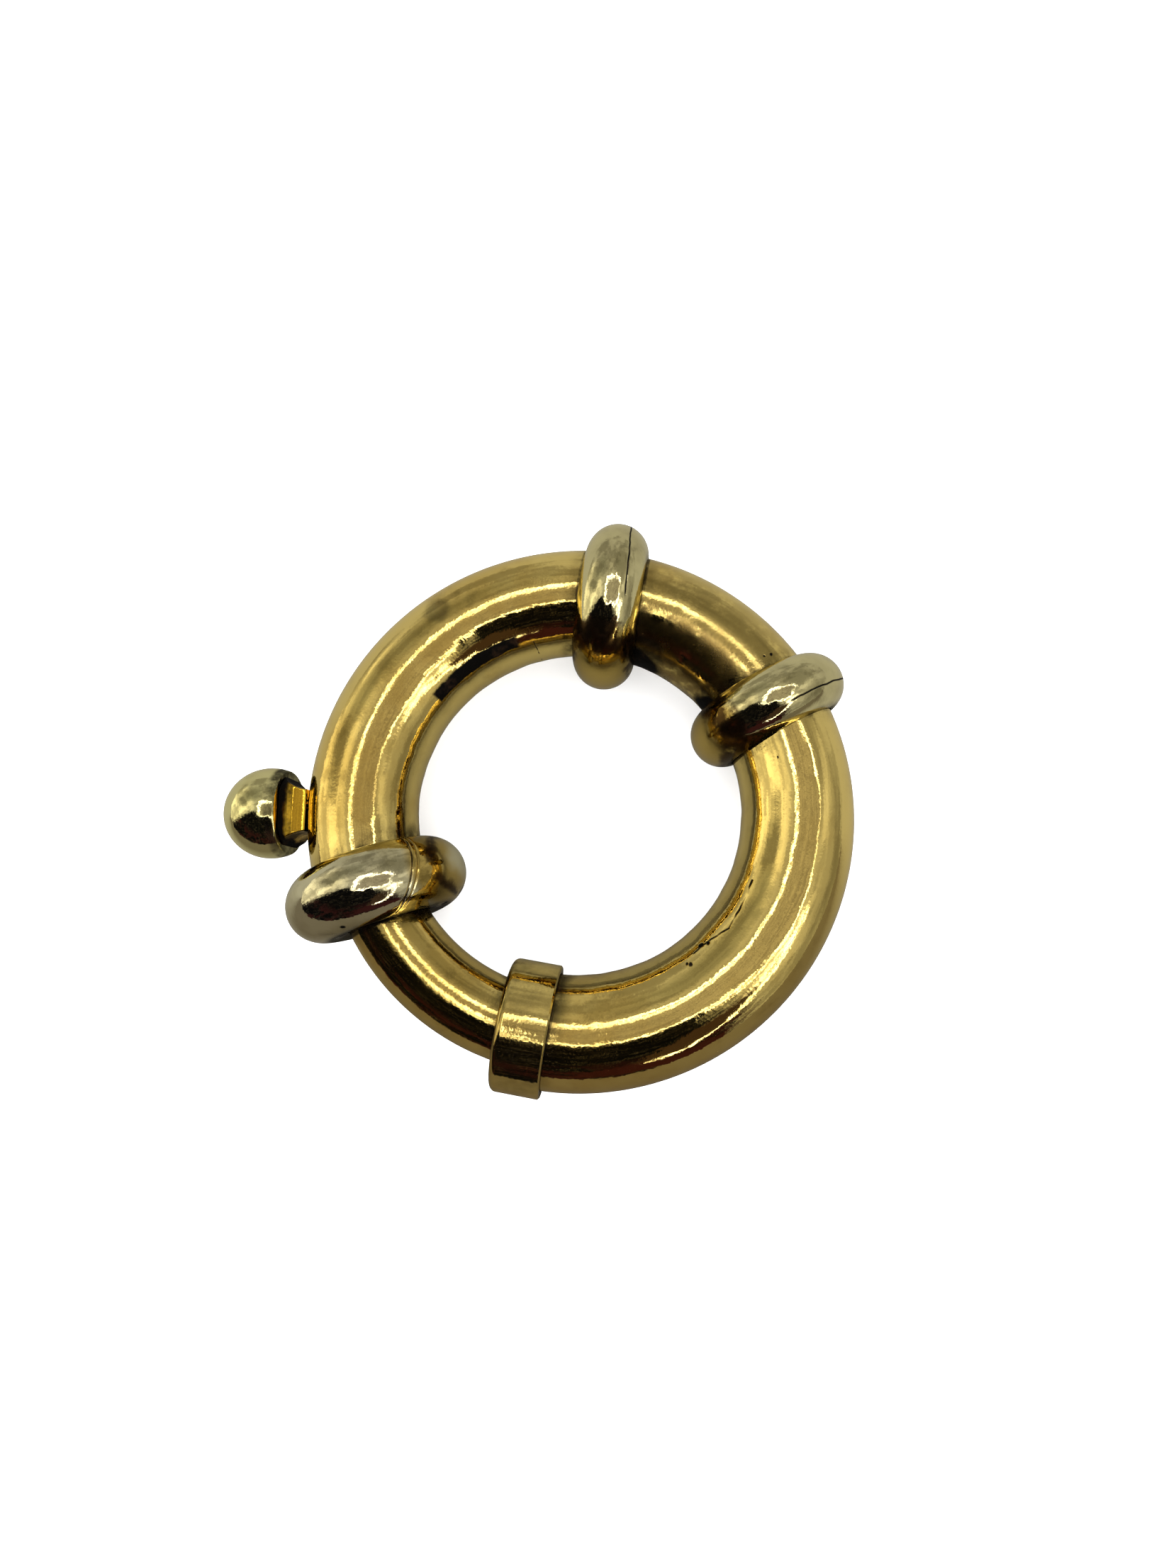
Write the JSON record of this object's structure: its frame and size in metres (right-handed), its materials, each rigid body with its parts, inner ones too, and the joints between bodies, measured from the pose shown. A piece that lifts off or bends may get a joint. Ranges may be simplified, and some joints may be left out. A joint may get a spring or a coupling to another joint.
{
  "type": "bolt ring clasp",
  "caption": "Gold bolt ring clasp: a hollow tube ring whose curved sprung bolt slides back by a ball knob, with a pale mouth ring and pale stop rings for the chain.",
  "frame": {"origin": "middle of the eye, in the plane of the ring's centre line", "axes": "+Z is the ring's own axis, up as the clasp lies; +X runs across the ring, away from the knob; +Y runs towards the top stop ring"},
  "size_m": [0.0255, 0.0232, 0.0072],
  "materials": {
    "yellow_gold": "polished yellow gold, lightly worn",
    "pale_gold": "polished pale gold, lightly worn"
  },
  "bodies": {
    "case": {"tube": "yellow_gold", "mouth_ring": "pale_gold", "stop_ring_top": "pale_gold", "stop_ring_side": "pale_gold", "catch_collar": "yellow_gold"},
    "slider": {"bolt": "yellow_gold", "knob_post": "yellow_gold", "knob_ball": "pale_gold"}
  },
  "joints": [
    {"name": "bolt_slide", "type": "hinge", "parent": "case", "child": "slider", "pos_m": [0, 0, 0], "axis": [0, 0, -1], "range_deg": [0, 46], "stiffness_Nm_per_rad": 0.02, "springref_deg": -22.92}
  ]
}
